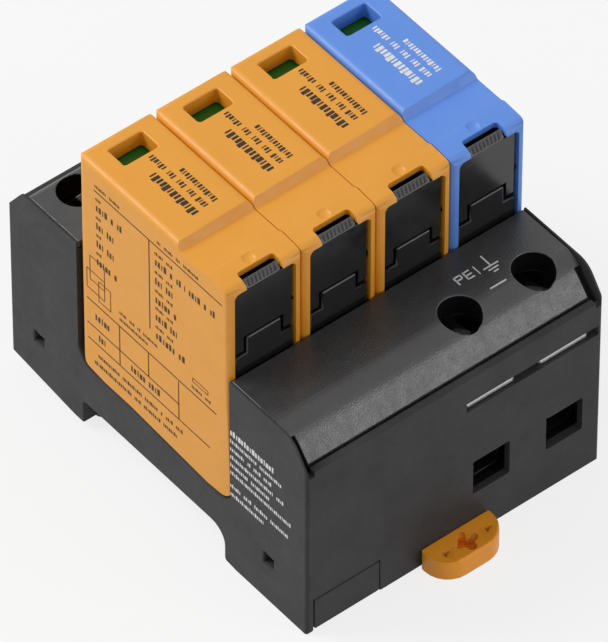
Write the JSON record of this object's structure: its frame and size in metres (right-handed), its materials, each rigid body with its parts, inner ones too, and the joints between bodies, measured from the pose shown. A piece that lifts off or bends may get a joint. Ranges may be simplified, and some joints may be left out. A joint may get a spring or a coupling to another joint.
{
  "type": "din rail surge arrester",
  "caption": "Modular surge arrester for rail mounting: a black base with screw terminals, a sprung rail foot and pluggable orange and blue protection modules with status windows.",
  "frame": {"origin": "On the rail's centre line, in the plane of the rail's flanges, in the middle of the row.", "axes": "+X runs along the rail towards the blue plug, -Y points to the side with the rail foot and earth terminals, +Z points away from the rail."},
  "size_m": [0.072, 0.0975, 0.076],
  "materials": {
    "housing_black": "fine spark-eroded grain, satin matt",
    "hood_orange": "fine grain, satin matt",
    "hood_blue": "fine grain, satin matt",
    "foot_orange": "smooth, slightly waxy",
    "latch_black": "smooth, slightly glossy",
    "flag_green": "smooth moulded",
    "tinned_copper": "dull tin plating",
    "zinc_steel": "zinc plated",
    "bare_copper": "rolled copper strip",
    "varistor_epoxy": "dipped epoxy coating",
    "ceramic_white": "glazed ceramic with metal caps"
  },
  "bodies": {
    "base": {"base_housing": "housing_black", "top_cover": "housing_black", "back_cover": "housing_black", "socket_tray": "housing_black", "signal_port_blank": "housing_black", "line_bar_1": "bare_copper", "line_bar_2": "bare_copper", "line_bar_3": "bare_copper", "neutral_bar": "bare_copper", "earth_bar": "tinned_copper", "socket_clips": "tinned_copper"},
    "foot": {"din_foot": "foot_orange"},
    "plug_1": {"hood_1": "hood_orange", "carrier_1": "latch_black", "contact_blades_1": "tinned_copper", "thermal_link_1": "bare_copper", "varistor_1": "varistor_epoxy"},
    "latch_1": {"latch_1": "latch_black"},
    "flag_1": {"status_flag_1": "flag_green"},
    "plug_2": {"hood_2": "hood_orange", "carrier_2": "latch_black", "contact_blades_2": "tinned_copper", "thermal_link_2": "bare_copper", "varistor_2": "varistor_epoxy"},
    "latch_2": {"latch_2": "latch_black"},
    "flag_2": {"status_flag_2": "flag_green"},
    "plug_3": {"hood_3": "hood_orange", "carrier_3": "latch_black", "contact_blades_3": "tinned_copper", "thermal_link_3": "bare_copper", "varistor_3": "varistor_epoxy"},
    "latch_3": {"latch_3": "latch_black"},
    "flag_3": {"status_flag_3": "flag_green"},
    "plug_4": {"hood_4": "hood_blue", "carrier_4": "latch_black", "contact_blades_4": "tinned_copper", "thermal_link_4": "bare_copper", "spark_gap": "ceramic_white"},
    "latch_4": {"latch_4": "latch_black"},
    "flag_4": {"status_flag_4": "flag_green"},
    "screw_1": {"clamp_screw_1": "zinc_steel"},
    "cage_1": {"clamp_cage_1": "zinc_steel"},
    "screw_2": {"clamp_screw_2": "zinc_steel"},
    "cage_2": {"clamp_cage_2": "zinc_steel"},
    "screw_3": {"clamp_screw_3": "zinc_steel"},
    "cage_3": {"clamp_cage_3": "zinc_steel"},
    "screw_4": {"clamp_screw_4": "zinc_steel"},
    "cage_4": {"clamp_cage_4": "zinc_steel"},
    "screw_5": {"clamp_screw_5": "zinc_steel"},
    "cage_5": {"clamp_cage_5": "zinc_steel"},
    "screw_6": {"clamp_screw_6": "zinc_steel"},
    "cage_6": {"clamp_cage_6": "zinc_steel"}
  },
  "joints": [
    {"name": "foot_slide", "type": "slide", "parent": "base", "child": "foot", "axis": [0, -1, 0], "range_m": [0, 0.0045], "stiffness_N_per_m": 1500},
    {"name": "plug_1_lift", "type": "slide", "parent": "base", "child": "plug_1", "axis": [0, 0, 1], "range_m": [0, 0.036]},
    {"name": "latch_1_press", "type": "hinge", "parent": "plug_1", "child": "latch_1", "pos_m": [-0.027, -0.0205, 0.054], "axis": [-1, 0, 0], "range_deg": [0, 3.2], "stiffness_Nm_per_rad": 0.4},
    {"name": "flag_1_trip", "type": "slide", "parent": "plug_1", "child": "flag_1", "axis": [0, -1, 0], "range_m": [0, 0.007]},
    {"name": "plug_2_lift", "type": "slide", "parent": "base", "child": "plug_2", "axis": [0, 0, 1], "range_m": [0, 0.036]},
    {"name": "latch_2_press", "type": "hinge", "parent": "plug_2", "child": "latch_2", "pos_m": [-0.009, -0.0205, 0.054], "axis": [-1, 0, 0], "range_deg": [0, 3.2], "stiffness_Nm_per_rad": 0.4},
    {"name": "flag_2_trip", "type": "slide", "parent": "plug_2", "child": "flag_2", "axis": [0, -1, 0], "range_m": [0, 0.007]},
    {"name": "plug_3_lift", "type": "slide", "parent": "base", "child": "plug_3", "axis": [0, 0, 1], "range_m": [0, 0.036]},
    {"name": "latch_3_press", "type": "hinge", "parent": "plug_3", "child": "latch_3", "pos_m": [0.009, -0.0205, 0.054], "axis": [-1, 0, 0], "range_deg": [0, 3.2], "stiffness_Nm_per_rad": 0.4},
    {"name": "flag_3_trip", "type": "slide", "parent": "plug_3", "child": "flag_3", "axis": [0, -1, 0], "range_m": [0, 0.007]},
    {"name": "plug_4_lift", "type": "slide", "parent": "base", "child": "plug_4", "axis": [0, 0, 1], "range_m": [0, 0.036]},
    {"name": "latch_4_press", "type": "hinge", "parent": "plug_4", "child": "latch_4", "pos_m": [0.027, -0.0205, 0.054], "axis": [-1, 0, 0], "range_deg": [0, 3.2], "stiffness_Nm_per_rad": 0.4},
    {"name": "flag_4_trip", "type": "slide", "parent": "plug_4", "child": "flag_4", "axis": [0, -1, 0], "range_m": [0, 0.007]},
    {"name": "screw_1_turn", "type": "hinge", "parent": "base", "child": "screw_1", "pos_m": [0.009, -0.036, 0.03], "axis": [0, 0, -1], "range_deg": [0, 3240]},
    {"name": "cage_1_rise", "type": "slide", "parent": "base", "child": "cage_1", "axis": [0, 0, 1], "range_m": [0, 0.0072]},
    {"name": "screw_2_turn", "type": "hinge", "parent": "base", "child": "screw_2", "pos_m": [0.027, -0.036, 0.03], "axis": [0, 0, -1], "range_deg": [0, 3240]},
    {"name": "cage_2_rise", "type": "slide", "parent": "base", "child": "cage_2", "axis": [0, 0, 1], "range_m": [0, 0.0072]},
    {"name": "screw_3_turn", "type": "hinge", "parent": "base", "child": "screw_3", "pos_m": [-0.027, 0.034, 0.03], "axis": [0, 0, -1], "range_deg": [0, 3240]},
    {"name": "cage_3_rise", "type": "slide", "parent": "base", "child": "cage_3", "axis": [0, 0, 1], "range_m": [0, 0.0072]},
    {"name": "screw_4_turn", "type": "hinge", "parent": "base", "child": "screw_4", "pos_m": [-0.009, 0.034, 0.03], "axis": [0, 0, -1], "range_deg": [0, 3240]},
    {"name": "cage_4_rise", "type": "slide", "parent": "base", "child": "cage_4", "axis": [0, 0, 1], "range_m": [0, 0.0072]},
    {"name": "screw_5_turn", "type": "hinge", "parent": "base", "child": "screw_5", "pos_m": [0.009, 0.034, 0.03], "axis": [0, 0, -1], "range_deg": [0, 3240]},
    {"name": "cage_5_rise", "type": "slide", "parent": "base", "child": "cage_5", "axis": [0, 0, 1], "range_m": [0, 0.0072]},
    {"name": "screw_6_turn", "type": "hinge", "parent": "base", "child": "screw_6", "pos_m": [0.027, 0.034, 0.03], "axis": [0, 0, -1], "range_deg": [0, 3240]},
    {"name": "cage_6_rise", "type": "slide", "parent": "base", "child": "cage_6", "axis": [0, 0, 1], "range_m": [0, 0.0072]}
  ],
  "couplings": [
    {"joint": "screw_1_turn", "follows": "cage_1_rise", "rad_per_m": 7854},
    {"joint": "screw_2_turn", "follows": "cage_2_rise", "rad_per_m": 7854},
    {"joint": "screw_3_turn", "follows": "cage_3_rise", "rad_per_m": 7854},
    {"joint": "screw_4_turn", "follows": "cage_4_rise", "rad_per_m": 7854},
    {"joint": "screw_5_turn", "follows": "cage_5_rise", "rad_per_m": 7854},
    {"joint": "screw_6_turn", "follows": "cage_6_rise", "rad_per_m": 7854}
  ]
}
